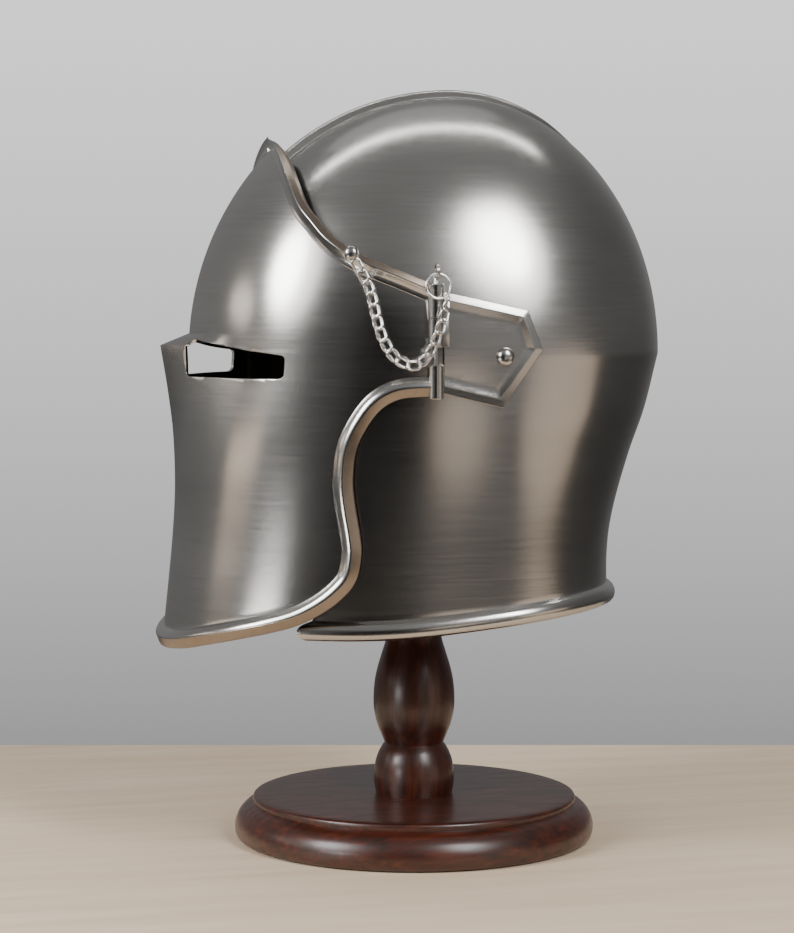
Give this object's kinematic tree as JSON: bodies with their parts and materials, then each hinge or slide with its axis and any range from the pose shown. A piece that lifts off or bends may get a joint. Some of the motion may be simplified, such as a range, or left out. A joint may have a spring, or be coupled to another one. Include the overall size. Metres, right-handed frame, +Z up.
{
  "type": "visored barbute helmet on a turned wooden stand",
  "caption": "Steel barbute with a pointed full-face visor, eye slits, side pivots and chained hinge pins, shown on a turned wooden stand.",
  "frame": {"origin": "centre of the stand's underside, on the table", "axes": "+Z up along the stand's post, -Y towards the front of the helmet, +X towards the wearer's left"},
  "size_m": [0.231, 0.2794, 0.4139],
  "materials": {
    "brushed_plate": "satin brushed steel plate",
    "rivet_steel": "polished steel",
    "bright_wire": "bright steel wire",
    "mahogany": "dark red-brown satin lacquer"
  },
  "bodies": {
    "helmet_and_stand": {"stand_base": "mahogany", "stand_post": "mahogany", "skull": "brushed_plate", "pivot_rivet_left": "rivet_steel", "pivot_rivet_right": "rivet_steel"},
    "visor_assembly": {"visor": "brushed_plate", "visor_arm_left": "brushed_plate", "visor_arm_right": "brushed_plate", "hinge_pin_left": "rivet_steel", "hinge_pin_right": "rivet_steel", "pin_ring_left": "bright_wire", "pin_ring_right": "bright_wire", "pin_chain_left": "bright_wire", "pin_chain_right": "bright_wire", "chain_rivet_left": "rivet_steel", "chain_rivet_right": "rivet_steel"}
  },
  "joints": [
    {"name": "visor_pivot", "type": "hinge", "parent": "helmet_and_stand", "child": "visor_assembly", "pos_m": [0, 0.0215, 0.2695], "axis": [-1, 0, 0], "range_deg": [0, 75]}
  ]
}
